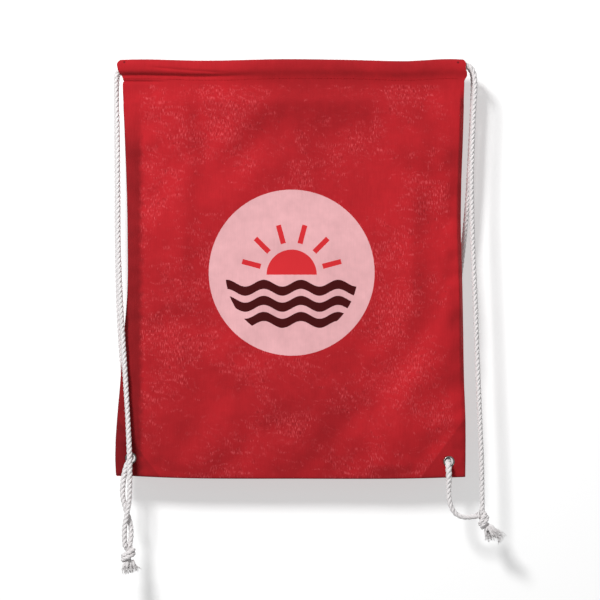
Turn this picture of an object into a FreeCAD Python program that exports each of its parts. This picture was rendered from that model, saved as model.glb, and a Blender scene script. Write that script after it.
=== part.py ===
import FreeCAD, Part
import math
import os

# A flat cotton drawstring backpack, hanging by its top hem. Millimetres.
# X runs to the right, the printed front faces -Y, Z is up. The origin is the middle of the top edge.

doc = FreeCAD.newDocument("drawstring_bag")
V = FreeCAD.Vector

SIZES = {
    # the bag's outline, seen from the front
    "bag_depth": 417.0,
    "top_half_left": 168.5,
    "top_half_right": 173.0,
    "base_half_left": 175.0,
    "base_half_right": 174.5,
    "waist_left": 9.0,
    "waist_right": 4.0,
    # the cloth and how far the bag stands open
    "cloth_thick": 1.2,
    "seam_gap": 0.55,
    "top_gap": 3.4,
    "belly": 9.5,
    "belly_least": 0.3,
    # the hem that makes the cord channel
    "hem_deep": 20.5,
    "hem_left": 169.5,
    "hem_right": 173.0,
    "hem_front": 11.0,
    "hem_back": 3.0,
    "tunnel_deep": 14.0,
    "tunnel_wall": 1.2,
    "flap_thick": 2.4,
    "crossing_long": 13.0,
    "hem_round": 3.0,
    # seams, corner patches, thread
    "seam_wide": 12.0,
    "seam_thick": 0.7,
    "seam_top": 46.0,
    "patch_leg": 58.0,
    "patch_inset": 0.6,
    "patch_side": 6.0,
    "thread_size": 0.5,
    "stitch_long": 3.6,
    "stitch_pitch": 5.0,
    "stitch_drop": 19.0,
    # eyelets
    "left_eyelet_side": -160.0,
    "left_eyelet_drop": -398.0,
    "right_eyelet_side": 157.9,
    "right_eyelet_drop": -401.5,
    "eyelet_hole": 4.1,
    "eyelet_barrel": 4.5,
    "eyelet_flange": 5.9,
    "eyelet_face": 2.6,
    "eyelet_plate": 0.45,
    "eyelet_rim": 0.35,
    # cord
    "cord_size": 5.0,
    "cord_front": -7.0,
    "upper_cord": -4.0,
    "lower_cord": -9.4,
    "run_end": 160.0,
    # knots and frayed ends
    "knot_round": 6.4,
    "knot_neck": 4.6,
    "knot_tall": 15.0,
    "tail_start": 2.4,
    "tail_end": 4.6,
    "tail_long": 15.0,
}

sheet = doc.addObject("Spreadsheet::Sheet", "Sheet")
for row, (alias, value) in enumerate(SIZES.items(), start=1):
    sheet.set(f"A{row}", alias)
    sheet.set(f"B{row}", str(value))
    sheet.setAlias(f"B{row}", alias)
doc.recompute()


def size(alias):
    return float(getattr(sheet, alias))


def bind(obj, **formulas):
    for prop, formula in formulas.items():
        obj.setExpression(prop.replace("__", "."), formula)


parts = {}


def keep(obj, name):
    """Names a finished sub-part; its label is its file's name."""
    obj.Label = name
    parts[name] = obj
    return obj


def feature(name, shape):
    obj = doc.addObject("Part::Feature", name)
    obj.Shape = shape
    obj.Placement = FreeCAD.Placement(V(0, 0, 0), FreeCAD.Rotation())
    return keep(obj, name)


def box(name, where, **formulas):
    """A box whose corner and sides are formulas over the sheet."""
    obj = doc.addObject("Part::Box", name)
    bind(obj, **formulas)
    for axis, formula in zip("xyz", where):
        obj.setExpression(f"Placement.Base.{axis}", formula)
    return obj


def boolean(kind, name, base, tool):
    obj = doc.addObject(kind, name)
    obj.Base = base
    obj.Tool = tool
    return obj


# ---------------------------------------------------------------- cloth panels

def edge_at(share, side):
    """How far the side edge is from the middle, at a share of the bag's depth from the top."""
    top = size(f"top_half_{side}")
    base = size(f"base_half_{side}")
    return top + (base - top) * share - size(f"waist_{side}") * math.sin(math.pi * share)


def gaps_at(share):
    """The cloth's distance from the middle plane, at the side edge and at the belly."""
    slit = max(0.0, 1 - share / 0.1)
    edge = size("seam_gap") + (size("top_gap") - size("seam_gap")) * slit
    belly = size("belly_least") + size("belly") * math.sin(math.pi * share) ** 0.8
    return edge, edge + belly


def panel_section(share, facing):
    """The cut through one panel at one height: two arcs, a cloth's thickness apart."""
    height = -size("hem_deep") - share * (size("bag_depth") - size("hem_deep"))
    left = -edge_at(share, "left")
    right = edge_at(share, "right")
    middle = (left + right) / 2
    edge, belly = gaps_at(share)
    thick = size("cloth_thick")
    inner = [
        V(left, facing * edge, height),
        V(middle, facing * belly, height),
        V(right, facing * edge, height),
    ]
    outer = [point + V(0, facing * thick, 0) for point in inner]
    return Part.Wire([
        Part.Arc(*outer).toShape(),
        Part.LineSegment(outer[2], inner[2]).toShape(),
        Part.Arc(*reversed(inner)).toShape(),
        Part.LineSegment(inner[0], outer[0]).toShape(),
    ])


PANEL_SHARES = (0.0, 0.1, 0.25, 0.45, 0.65, 0.82, 0.93, 1.0)


def eyelet_spot(side):
    return size(f"{side}_eyelet_side"), size(f"{side}_eyelet_drop")


def pierced(shape):
    """The cloth with both corner holes punched for the eyelet barrels."""
    for side in ("left", "right"):
        across, up = eyelet_spot(side)
        punch = Part.makeCylinder(size("eyelet_barrel") + 0.05, 40, V(across, -20, up), V(0, 1, 0))
        shape = shape.cut(punch)
    return shape


def panel(name, facing):
    sections = [panel_section(share, facing) for share in PANEL_SHARES]
    feature(name, pierced(Part.makeLoft(sections, True, False)))


panel("front_panel", -1)
panel("back_panel", 1)


# ---------------------------------------------------------------- hems

def hem(name, facing):
    """A tunnel for two cords, over a stitched flap; the tunnel's inner wall is open where cords cross.

    Every long edge of the tunnel is rounded but the one that the flap hangs from.
    """
    def across(near, far):
        return f"-{far}" if facing < 0 else near

    whole = "Sheet.hem_left + Sheet.hem_right"
    tunnel = box(name + "_tunnel", ("-Sheet.hem_left", across("Sheet.hem_back", "Sheet.hem_front"),
                                    "-Sheet.tunnel_deep"),
                 Length=whole, Width="Sheet.hem_front - Sheet.hem_back", Height="Sheet.tunnel_deep")
    flap_front = "(Sheet.hem_back + Sheet.flap_thick)"
    flap = box(name + "_flap", ("-Sheet.hem_left", across("Sheet.hem_back", flap_front), "-Sheet.hem_deep"),
               Length=whole, Width="Sheet.flap_thick", Height="Sheet.hem_deep - Sheet.tunnel_deep")
    channel = box(name + "_channel",
                  ("-Sheet.hem_left - 1",
                   across("Sheet.hem_back + Sheet.tunnel_wall", "(Sheet.hem_front - Sheet.tunnel_wall)"),
                   "Sheet.tunnel_wall - Sheet.tunnel_deep"),
                  Length=whole + " + 2", Width="Sheet.hem_front - Sheet.hem_back - 2 * Sheet.tunnel_wall",
                  Height="Sheet.tunnel_deep - 2 * Sheet.tunnel_wall")
    rounded = doc.addObject("Part::Fillet", name + "_rounded")
    rounded.Base = tunnel
    doc.recompute()
    seat = V(tunnel.Shape.BoundBox.Center.x, facing * size("hem_back"), -size("tunnel_deep"))
    long_edges = [
        number for number, edge in enumerate(tunnel.Shape.Edges, start=1)
        if edge.BoundBox.XLength > 100 and edge.CenterOfMass.distanceToPoint(seat) > 1
    ]
    rounded.Edges = [(number, size("hem_round"), size("hem_round")) for number in long_edges]
    outer = boolean("Part::Fuse", name + "_outer", rounded, flap)
    hollow = boolean("Part::Cut", name + "_hollow", outer, channel)
    ends = (("left", "-Sheet.hem_left - 1"), ("right", "Sheet.hem_right - Sheet.crossing_long"))
    crossings = doc.addObject("Part::MultiFuse", name + "_crossings")
    crossings.Shapes = [
        box(f"{name}_crossing_{side}", (start, across("0", "Sheet.hem_front / 2"),
                                        "Sheet.tunnel_wall - Sheet.tunnel_deep"),
            Length="Sheet.crossing_long + 1", Width="Sheet.hem_front / 2",
            Height="Sheet.tunnel_deep - 2 * Sheet.tunnel_wall")
        for side, start in ends
    ]
    keep(boolean("Part::Cut", name, hollow, crossings), name)


hem("front_hem", -1)
hem("back_hem", 1)


# ---------------------------------------------------------------- seams, patches, stitching

def plate(name, outline, thick):
    """A flat plate with the given outline in XZ, centred on the middle plane."""
    corners = [V(across, -thick / 2, up) for across, up in outline]
    face = Part.Face(Part.makePolygon(corners + corners[:1]))
    return feature(name, pierced(face.extrude(V(0, thick, 0))))


def height_share(up):
    return (-up - size("hem_deep")) / (size("bag_depth") - size("hem_deep"))


def side_seam(side, sign):
    """The turned-in allowance of a side seam, from below the slit down to the corner patch."""
    top = -size("seam_top")
    foot = -size("bag_depth") + size("patch_leg") + 1
    steps = 6
    heights = [top + (foot - top) * step / steps for step in range(steps + 1)]
    edge = [(sign * (edge_at(height_share(up), side) - 0.2), up) for up in heights]
    inner = [(across - sign * size("seam_wide"), up) for across, up in reversed(edge)]
    plate(f"{side}_seam_allowance", edge + inner, size("seam_thick"))


def corner_patch(side, sign):
    """A triangle of doubled cloth inside each bottom corner, round the eyelet."""
    base = -size("bag_depth") + 1
    top = base + size("patch_leg")
    corner = sign * (edge_at(1.0, side) - size("patch_inset"))
    upper = sign * (edge_at(height_share(top), side) - size("patch_inset"))
    inner = corner - sign * size("patch_leg")
    outline = [(corner, base), (upper, top), (upper - sign * size("patch_side"), top), (inner, base)]
    plate(f"{side}_corner_patch", outline, size("seam_thick"))


def hem_stitching(name, facing):
    """One row of lockstitch, each stitch a small bar lying on the hem's flap."""
    face = size("hem_back") + size("flap_thick")
    near = face if facing > 0 else -face - size("thread_size")
    count = int((size("hem_left") + size("hem_right") - 6) / size("stitch_pitch"))
    start = -size("hem_left") + 3
    stitches = [
        Part.makeBox(size("stitch_long"), size("thread_size"), size("thread_size"),
                     V(start + number * size("stitch_pitch"), near, -size("stitch_drop")))
        for number in range(count)
    ]
    feature(name, Part.makeCompound(stitches))


for side, sign in (("left", -1), ("right", 1)):
    side_seam(side, sign)
    corner_patch(side, sign)
hem_stitching("front_hem_stitching", -1)
hem_stitching("back_hem_stitching", 1)


# ---------------------------------------------------------------- eyelets

def ring(name, side, facing, profile):
    """A turned ring on the eyelet's axis; the profile is (radius, distance from the middle plane)."""
    body = doc.addObject("PartDesign::Body", name)
    sketch = body.newObject("Sketcher::SketchObject", name + "_profile")
    plane = [f for f in body.Origin.OriginFeatures if f.Role == "XZ_Plane"][0]
    sketch.AttachmentSupport = [(plane, "")]
    sketch.MapMode = "FlatFace"
    doc.recompute()
    corners = [V(radius, out, 0) for radius, out in profile]
    for first, second in zip(corners, corners[1:] + corners[:1]):
        sketch.addGeometry(Part.LineSegment(first, second))
    doc.recompute()
    turned = body.newObject("PartDesign::Revolution", name + "_turned")
    turned.Profile = sketch
    turned.ReferenceAxis = (sketch, ["V_Axis"])
    turned.Angle = 360
    turn = FreeCAD.Rotation(V(1, 0, 0), 90 if facing < 0 else -90)
    body.Placement = FreeCAD.Placement(V(0, 0, 0), turn)
    body.setExpression("Placement.Base.x", f"Sheet.{side}_eyelet_side")
    body.setExpression("Placement.Base.z", f"Sheet.{side}_eyelet_drop")
    keep(body, name)


def eyelet(side):
    """A front half with the barrel, and the washer that the barrel is rolled over at the back."""
    hole = size("eyelet_hole")
    barrel = size("eyelet_barrel")
    flange = size("eyelet_flange")
    face = size("eyelet_face")
    top = face + size("eyelet_plate") + size("eyelet_rim")
    low = face + size("eyelet_plate")
    back = -face + 0.1
    ring(f"{side}_eyelet", side, -1, [
        (hole, back), (barrel, back), (barrel, face), (flange, face), (flange, low),
        (flange - 0.5, top), (hole + 0.5, top), (hole, low),
    ])
    ring(f"{side}_eyelet_washer", side, 1, [
        (hole, face), (flange, face), (flange, low), (flange - 0.5, top), (hole + 0.5, top), (hole, low),
    ])


eyelet("left")
eyelet("right")


# ---------------------------------------------------------------- cords

def arc_corner(before, corner, after):
    """The tangent arc at one corner of a route: radius 0.45 of the shorter run over tan(half turn)."""
    back = (before - corner)
    ahead = (after - corner)
    reach = 0.45 * min(back.Length, ahead.Length)
    back.normalize()
    ahead.normalize()
    half_turn = (math.pi - back.getAngle(ahead)) / 2
    radius = reach / math.tan(half_turn)
    middle = back + ahead
    middle.normalize()
    centre_gap = math.hypot(radius, reach)
    return corner + back * reach, corner + middle * (centre_gap - radius), corner + ahead * reach, radius


def route_wire(points):
    """Straight runs joined by tangent arcs."""
    edges = []
    radii = []
    here = points[0]
    for before, corner, after in zip(points, points[1:], points[2:]):
        start, middle, end, radius = arc_corner(before, corner, after)
        edges.append(Part.LineSegment(here, start).toShape())
        edges.append(Part.Arc(start, middle, end).toShape())
        radii.append(radius)
        here = end
    edges.append(Part.LineSegment(here, points[-1]).toShape())
    return Part.Wire(edges), radii


def pipe(wire, start, along):
    circle = Part.makeCircle(size("cord_size") / 2, start, along)
    return wire.makePipeShell([Part.Wire(circle)], True, False)


def cord(name, route, ball=False):
    """A tube along a route; ball gives it a round end where it turns on its neighbour."""
    points = [V(*point) for point in route]
    wire, radii = route_wire(points)
    tube = pipe(wire, points[0], points[1] - points[0])
    expected = math.pi * (size("cord_size") / 2) ** 2 * wire.Length
    print(f"{name}: length {wire.Length:.1f}, tube/section x length {tube.Volume / expected:.4f}, "
          f"least radius {min(radii):.1f}, radii {[round(radius, 1) for radius in radii]}")
    if ball:
        tube = tube.fuse(Part.makeSphere(size("cord_size") / 2, points[0])).removeSplitter()
    feature(name, tube)


def channel_run(name, away, up):
    """A cord in both tunnels, crossing from front to back at the end away from its strands."""
    end = (size("hem_right") if away > 0 else size("hem_left")) - size("cord_size") / 2
    front = size("cord_front")
    open_end = -away * size("run_end")
    bend = away * (end + front)
    edges = [
        Part.LineSegment(V(open_end, front, up), V(bend, front, up)).toShape(),
        Part.Arc(V(bend, front, up), V(bend - away * front, 0, up), V(bend, -front, up)).toShape(),
        Part.LineSegment(V(bend, -front, up), V(open_end, -front, up)).toShape(),
    ]
    wire = Part.Wire(edges)
    print(f"{name}: length {wire.Length:.1f}")
    feature(name, pipe(wire, V(open_end, front, up), V(away, 0, 0)))


channel_run("left_cord_in_hem", 1, size("lower_cord"))
channel_run("right_cord_in_hem", -1, size("upper_cord"))

# Each strand's route is chosen by hand. Each starts 10 mm inside its tunnel.
LEFT_FRONT = [
    (-160, -7, -9.4), (-170.4, -7, -9.5), (-174.2, -7.2, -14.8), (-174.6, -7.6, -24.5), (-174.1, -8, -42),
    (-172.9, -8.2, -72), (-172.5, -8.6, -118), (-172.3, -9, -176), (-170.4, -9.8, -232), (-167, -10.6, -285),
    (-164.2, -11.2, -328), (-162, -11.7, -366), (-160.6, -12, -395.2),
]
LEFT_FRONT_PENDANT = [
    (-160.3, -12, -398), (-160.6, -12.1, -412), (-160.3, -12.2, -428), (-161.2, -12.2, -443),
    (-164.4, -11.8, -458), (-166.5, -10.4, -472), (-165.2, -9.2, -486),
]
LEFT_REAR = [
    (-160, 7, -9.4), (-170.4, 7, -9.5), (-174.3, 7.2, -14.8), (-174.8, 7.6, -24.5), (-175.1, 8, -42),
    (-174.9, 8.2, -72), (-174.7, 8.6, -118), (-174.6, 9, -176), (-173.6, 9.4, -232), (-171, 9.8, -285),
    (-167.6, 10, -326), (-162.8, 9.8, -362), (-160.3, 8.8, -384), (-160, 6.6, -397.4), (-160, -3.2, -398),
]
LEFT_REAR_PENDANT = [
    (-160, -6, -398), (-164.4, -6.5, -405), (-167.2, -6.8, -418), (-168.4, -6.8, -433), (-165.6, -6.2, -447),
    (-160.6, -6, -460), (-158.8, -7, -474), (-160.8, -8.4, -486),
]
RIGHT_FRONT_EXIT = [
    (160, -7, -4), (173.6, -7, -4.2), (181.8, -7.3, -9.8), (183.7, -7.8, -22), (183.2, -8, -36),
]
RIGHT_FRONT = [
    (183.2, -8, -36.4), (181.9, -8, -56), (180.5, -8.3, -88), (179.8, -8.2, -135), (181.4, -8, -190),
    (184.2, -7.8, -252), (186.2, -7.8, -312), (188.8, -7.9, -368), (190.4, -8, -415), (190.7, -8, -452),
]
RIGHT_REAR = [
    (160, 7, -4), (173.6, 7, -4.2), (181.4, 7.3, -9.8), (183, 7.7, -21.5), (182.2, 8.2, -42),
    (180.6, 8.8, -78), (177.9, 9.4, -132), (173.9, 10, -180), (167.2, 10.6, -236), (162.6, 10.8, -296),
    (159.8, 10.4, -350), (157.8, 9.4, -386), (157.1, 6.5, -400.2), (157.1, -6.4, -403),
    (157.2, -8.1, -409.5), (157.6, -8.3, -417),
]
RIGHT_REAR_LOOP = [
    (157.6, -8.3, -417.4), (156.9, -8.3, -428), (157.6, -8.6, -441), (162.6, -8.6, -452.6),
    (171.6, -8.4, -456.8), (180.6, -8.2, -456.2), (187.6, -8, -455.2),
]
cord("left_front_strand", LEFT_FRONT)
cord("left_front_pendant", LEFT_FRONT_PENDANT, ball=True)
cord("left_rear_strand", LEFT_REAR)
cord("left_rear_pendant", LEFT_REAR_PENDANT, ball=True)
cord("right_front_exit", RIGHT_FRONT_EXIT)
cord("right_front_strand", RIGHT_FRONT)
cord("right_rear_strand", RIGHT_REAR)
cord("right_rear_loop", RIGHT_REAR_LOOP)


# ---------------------------------------------------------------- knots and frayed ends

def knot(name, centre, lean):
    """A tight overhand knot, as a turned barrel with a waist between its two wraps."""
    body = doc.addObject("PartDesign::Body", name)
    sketch = body.newObject("Sketcher::SketchObject", name + "_profile")
    plane = [f for f in body.Origin.OriginFeatures if f.Role == "XZ_Plane"][0]
    sketch.AttachmentSupport = [(plane, "")]
    sketch.MapMode = "FlatFace"
    doc.recompute()
    half = size("knot_tall") / 2
    wide = size("knot_round")
    neck = size("knot_neck")
    corners = [
        V(0, -half, 0), V(neck, -half, 0), V(wide, -half * 0.7, 0), V(wide, -half * 0.2, 0),
        V(wide * 0.9, 0, 0), V(wide, half * 0.2, 0), V(wide, half * 0.7, 0), V(neck, half, 0),
        V(0, half, 0),
    ]
    for first, second in zip(corners, corners[1:] + corners[:1]):
        sketch.addGeometry(Part.LineSegment(first, second))
    doc.recompute()
    turned = body.newObject("PartDesign::Revolution", name + "_turned")
    turned.Profile = sketch
    turned.ReferenceAxis = (sketch, ["V_Axis"])
    turned.Angle = 360
    body.Placement = FreeCAD.Placement(V(*centre), FreeCAD.Rotation(V(0, 1, 0), lean))
    keep(body, name)


def tail(name, root, lean, forward):
    """The frayed end of one cord below its knot."""
    cone = doc.addObject("Part::Cone", name)
    bind(cone, Radius1="Sheet.tail_start", Radius2="Sheet.tail_end", Height="Sheet.tail_long")
    turn = FreeCAD.Rotation(V(0, 1, 0), 180 - lean) * FreeCAD.Rotation(V(1, 0, 0), forward)
    cone.Placement = FreeCAD.Placement(V(*root), turn)
    keep(cone, name)


knot("left_knot", (-162.4, -8.8, -493.6), 0)
knot("right_knot", (191.6, -8, -459.6), 0)
tail("left_front_tail", (-159.6, -6, -501.3), 8, 0)
tail("left_rear_tail", (-165.4, -11.6, -501.3), -4, 0)
tail("right_front_tail", (194, -10.4, -467.3), 50, 0)
tail("right_rear_tail", (191.8, -4.2, -467.3), 22, 0)


# ---------------------------------------------------------------- checks and files

doc.recompute()
for obj in doc.Objects:
    assert not {"Invalid", "Error"} & set(obj.State), f"{obj.Name} failed: {obj.State}"
for name, obj in parts.items():
    assert not obj.Shape.isNull() and obj.Shape.isValid(), f"{name} has no valid shape"
    assert obj.Shape.Solids, f"{name} holds no solid"
os.makedirs("parts", exist_ok=True)
for name, obj in parts.items():
    obj.Shape.exportStep(f"parts/{name}.step")
print(f"{len(parts)} sub-parts written")
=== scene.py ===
"""A flat red cotton drawstring backpack, hanging by its top hem in front of a pale wall.

Lengths are in millimetres until a mesh is made; Blender's own units are metres.
X runs to the right, the printed front faces -Y, Z is up. The origin is the middle of the top edge.
"""
import math

import bpy
import numpy as np
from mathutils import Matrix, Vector
from mathutils.bvhtree import BVHTree


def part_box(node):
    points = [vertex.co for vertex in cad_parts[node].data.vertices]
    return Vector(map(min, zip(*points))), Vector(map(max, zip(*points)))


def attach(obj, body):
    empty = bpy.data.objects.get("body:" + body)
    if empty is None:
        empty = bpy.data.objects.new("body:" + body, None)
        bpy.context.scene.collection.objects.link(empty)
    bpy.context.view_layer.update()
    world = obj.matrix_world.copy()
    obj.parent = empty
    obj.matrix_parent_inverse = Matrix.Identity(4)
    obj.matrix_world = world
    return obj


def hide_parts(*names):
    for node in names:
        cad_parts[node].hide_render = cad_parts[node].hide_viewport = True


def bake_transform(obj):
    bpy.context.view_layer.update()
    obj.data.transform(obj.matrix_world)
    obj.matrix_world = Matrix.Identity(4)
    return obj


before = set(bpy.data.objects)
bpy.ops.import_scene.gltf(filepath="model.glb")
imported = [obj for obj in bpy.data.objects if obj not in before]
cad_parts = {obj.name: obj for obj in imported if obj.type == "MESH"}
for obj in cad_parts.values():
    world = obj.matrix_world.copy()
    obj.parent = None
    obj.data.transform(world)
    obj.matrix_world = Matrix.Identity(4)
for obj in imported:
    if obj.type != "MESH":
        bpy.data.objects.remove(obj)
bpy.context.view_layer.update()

MM = 0.001
TURN = 2 * math.pi
dice = np.random.default_rng(11)

ROPE = 5.0                  # the cord's diameter
LAY = 15.0                  # length of one turn of its three strands
CLOTH = 0.6                 # the cloth's thickness in the render


def node_box(name):
    """Lowest and highest corner of a CAD node, in millimetres."""
    low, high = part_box(name)
    return np.array(low) / MM, np.array(high) / MM


panel_low, panel_high = node_box("front_panel")
HEM_DEEP = -panel_high[2]
BAG_DEEP = -panel_low[2]


# ---- small tools

# The top edge's rise against the place across; the cords in the hem follow it.
TOP_RISE = [(-176, -0.8), (-150, -0.3), (-91, -1.5), (0, 0), (60, -0.8), (114, -2), (164, 0), (176, -0.6)]


def curve_through(knots, at):
    """A smooth curve through given (place, value) pairs, read at other places."""
    place, value = np.array(knots, float).T
    slope = np.gradient(value, place)
    i = np.clip(np.searchsorted(place, at) - 1, 0, len(place) - 2)
    gap = place[i + 1] - place[i]
    t = np.clip((at - place[i]) / gap, 0, 1)
    rise = value[i + 1] - value[i]
    bend = (1 - t) * (slope[i] * gap - rise) - t * (slope[i + 1] * gap - rise)
    return value[i] + t * rise + t * (1 - t) * bend


def smooth_step(low, high, x):
    """0 at low, 1 at high, smooth between. Low may be the larger."""
    t = np.clip((x - low) / (high - low), 0, 1)
    return t * t * (3 - 2 * t)


def between(first, second, share):
    return first * (1 - share) + second * share


def hump(value, middle, reach):
    """1 where the value is at the middle, falling softly to both sides."""
    return np.exp(-(((value - middle) / reach) ** 2))


def lengths_along(line):
    """The length of a line up to each of its points."""
    return np.concatenate([[0], np.cumsum(np.linalg.norm(np.diff(line, axis=0), axis=1))])


def grid_faces(rows, columns, wrap=False):
    """Quads over a rows x columns grid of points; wrap joins the last column to the first."""
    r = np.arange(rows - 1)[:, None]
    c = np.arange(columns if wrap else columns - 1)[None, :]
    d = (c + 1) % columns
    quads = np.stack([r * columns + c, r * columns + d, (r + 1) * columns + d, (r + 1) * columns + c], -1)
    return quads.reshape(-1, 4)


def make_piece(name, points, faces, uv, material, smooth=True):
    """A mesh object from points in millimetres. uv is one pair per point, or None."""
    mesh = bpy.data.meshes.new(name)
    mesh.from_pydata((np.asarray(points) * MM).tolist(), [], [list(map(int, f)) for f in faces])
    if smooth:
        mesh.polygons.foreach_set("use_smooth", [True] * len(mesh.polygons))
    if uv is not None:
        layer = mesh.uv_layers.new(name="UVMap")
        corner = np.zeros(len(mesh.loops), int)
        mesh.loops.foreach_get("vertex_index", corner)
        layer.data.foreach_set("uv", np.asarray(uv, float)[corner].ravel())
    mesh.materials.append(material)
    mesh.update()
    piece = bpy.data.objects.new(name, mesh)
    bpy.context.scene.collection.objects.link(piece)
    return piece


def belong(piece, slot, body, *nodes):
    """Puts a piece on the body it rides on and hides the CAD nodes that it stands for. slot, its finish, is
    not used.
    """
    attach(piece, body)
    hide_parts(*nodes)
    return piece


def joined(parts):
    """One (points, faces, uv) from several."""
    points = np.concatenate([p for p, f, t in parts])
    texture = np.concatenate([t for p, f, t in parts])
    faces = []
    start = 0
    for p, f, t in parts:
        faces.extend((np.array(face) + start).tolist() for face in f)
        start += len(p)
    return points, faces, texture


# ---- materials

def with_node(operation, swapped=False):
    """A method that joins two wires, or a wire and a number, in a Math node."""
    def method(self, other):
        pair = (other, self) if swapped else (self, other)
        return self.shader.maths(operation, *pair)
    return method


class Wire:
    """A node's output, which sums can use like a number."""

    __add__ = __radd__ = with_node("ADD")
    __mul__ = __rmul__ = with_node("MULTIPLY")
    __sub__ = with_node("SUBTRACT")
    __rsub__ = with_node("SUBTRACT", swapped=True)

    def __init__(self, shader, socket):
        self.shader = shader
        self.socket = socket


class Shader:
    """A short way to write the nodes of a material or a world."""

    def __init__(self, owner):
        owner.use_nodes = True
        self.owner = owner
        self.tree = owner.node_tree
        self.tree.nodes.clear()

    def add(self, kind, *values, out=0, sockets=None, **settings):
        node = self.tree.nodes.new("ShaderNode" + kind)
        for key, value in settings.items():
            setattr(node, key, value)
        for socket, value in [*enumerate(values), *(sockets or {}).items()]:
            if isinstance(value, Wire):
                self.tree.links.new(value.socket, node.inputs[socket])
            else:
                node.inputs[socket].default_value = value
        return Wire(self, node.outputs[out]) if node.outputs else node

    def maths(self, operation, *values):
        return self.add("Math", *values, operation=operation)

    def largest(self, first, second):
        return self.maths("MAXIMUM", first, second)

    def step(self, value, low, high):
        """0 at low, 1 at high, smooth between."""
        return self.add("MapRange", value, low, high, 0.0, 1.0, interpolation_type="SMOOTHSTEP")

    def vary(self, noise, low, high):
        """A noise's usual range stretched to low and high."""
        return self.add("MapRange", noise, 0.3, 0.7, low, high)

    def mix(self, factor, first, second, blend="MIX"):
        return self.add("Mix", data_type="RGBA", blend_type=blend, out=2,
                        sockets={0: factor, 6: first, 7: second})

    def shaded(self, colour, shade):
        """A colour made darker or lighter by a value."""
        return self.mix(1.0, colour, self.add("CombineColor", shade, shade, shade), "MULTIPLY")

    def attribute(self, name, out=2):
        return self.add("Attribute", attribute_name=name, attribute_type="GEOMETRY", out=out)

    def scaled(self, vector, scale):
        return self.add("VectorMath", vector, scale, operation="MULTIPLY")

    def place_mm(self):
        return self.scaled(self.add("TexCoord", out=3), (1000, 1000, 1000))

    def split(self, vector):
        """A vector's three parts."""
        node = self.add("SeparateXYZ", vector).socket.node
        return [Wire(self, part) for part in node.outputs]

    def distance(self, across, up, centre):
        dx = across - centre[0]
        dz = up - centre[1]
        return self.maths("SQRT", dx * dx + dz * dz)

    def noise(self, vector, scale, detail=2.0, roughness=0.5, distortion=0.0):
        return self.add("TexNoise", sockets={
            "Vector": vector, "Scale": scale, "Detail": detail,
            "Roughness": roughness, "Distortion": distortion,
        })

    def surface(self, bump, bump_mm, bump_strength, **principled):
        sockets = {key.replace("_", " "): value for key, value in principled.items()}
        sockets["Normal"] = self.add("Bump", sockets={
            "Strength": bump_strength, "Distance": bump_mm * MM, "Height": bump,
        })
        self.add("OutputMaterial", self.add("BsdfPrincipled", sockets=sockets))
        return self.owner


def shown(*values):
    """A colour given as 0-255 display values, made linear."""
    def linear(value):
        share = value / 255
        return share / 12.92 if share <= 0.04045 else ((share + 0.055) / 1.055) ** 2.4
    return (*map(linear, values), 1.0)


PRINT_CENTRE = (0.7, -212.8)
PRINT_RADIUS = 82.6
INK_RADIUS = 66.0           # the waves keep inside this
HORIZON = -2.0              # heights here are from the print's centre
SUN_RADIUS = 25.0
RAY_START, RAY_END = 32.0, 51.0
RAY_WIDE = 15.0
RAY_TURN = 6.0              # twice this many rays would stand on a whole circle
WAVE_MIDDLES = (-15.0, -31.0, -47.0)
WAVE_LONG = 37.0
WAVE_HIGH = 3.4
WAVE_HALF_THICK = 4.6
INK_EDGE = 0.25


def print_motif(s, across, up):
    """Masks of the printed disc and its two inks: a sun with rays, over three waves."""
    across = across - PRINT_CENTRE[0]
    up = up - PRINT_CENTRE[1]

    def inside(value, limit):
        return s.step(value, limit + INK_EDGE, limit - INK_EDGE)

    from_middle = s.distance(across, up, (0.0, 0.0))
    from_sun = s.distance(across, up, (0.0, HORIZON))
    turn = s.maths("ARCTAN2", up - HORIZON, across)
    spoke = s.maths("ABSOLUTE", s.maths("COSINE", turn * RAY_TURN))
    ray_long = inside(from_sun, RAY_END) * inside(from_sun * -1.0, -RAY_START)
    rays = inside(spoke * from_sun, RAY_WIDE) * ray_long
    above = s.step(up, HORIZON - INK_EDGE, HORIZON + INK_EDGE)
    sun = s.largest(inside(from_sun, SUN_RADIUS), rays) * above
    level = up - s.maths("SINE", across * (TURN / WAVE_LONG)) * WAVE_HIGH
    first, *others = [inside(s.maths("ABSOLUTE", level - middle), WAVE_HALF_THICK) for middle in WAVE_MIDDLES]
    waves = s.largest(s.largest(first, others[0]), others[1])
    return inside(from_middle, PRINT_RADIUS), sun, waves * inside(from_middle, INK_RADIUS)


# The two small tack holes at the hem's ends, each painted as a dark spot of shade: (x, z).
TACKS = [(166.4, -3.4), (-166.0, -3.2)]
# Soft patches of painted shade and painted light on the front: (x, z, reach, how much lighter).
PAINTED_LIGHT_AND_SHADE_PATCHES = [
    (10, -70, 100, -0.10), (20, -345, 90, -0.13), (-60, -430, 150, -0.10), (-120, -310, 140, -0.07),
    (50, 4, 120, -0.18), (150, -170, 80, 0.07), (120, -310, 60, 0.06),
    (174, -70, 34, 0.14), (173, -120, 36, 0.18), (171, -175, 36, 0.18), (171, -230, 34, 0.16),
    (172, -285, 32, 0.14), (171, -52, 30, 0.10), (142, -368, 62, 0.16), (130, 10, 55, -0.12),
    (172, -345, 36, 0.14), (-62, -380, 45, 0.06), (-146, -225, 70, -0.10), (-146, -372, 62, -0.11),
    (150, -205, 60, 0.04), (152, -292, 60, 0.09), (172, -190, 34, 0.08), (-20, -6, 60, -0.06),
]
THREAD_GAP = 0.55           # between neighbouring threads


def painted_light_and_shade(s, across, up):
    """The painted shade and light of the soft patches."""
    total = 0.0
    for patch_x, patch_z, reach, lighter in PAINTED_LIGHT_AND_SHADE_PATCHES:
        off = s.distance(across, up, (patch_x, patch_z))
        total = s.maths("MULTIPLY_ADD", s.step(off, reach, 0.0), lighter, total)
    return total


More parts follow.
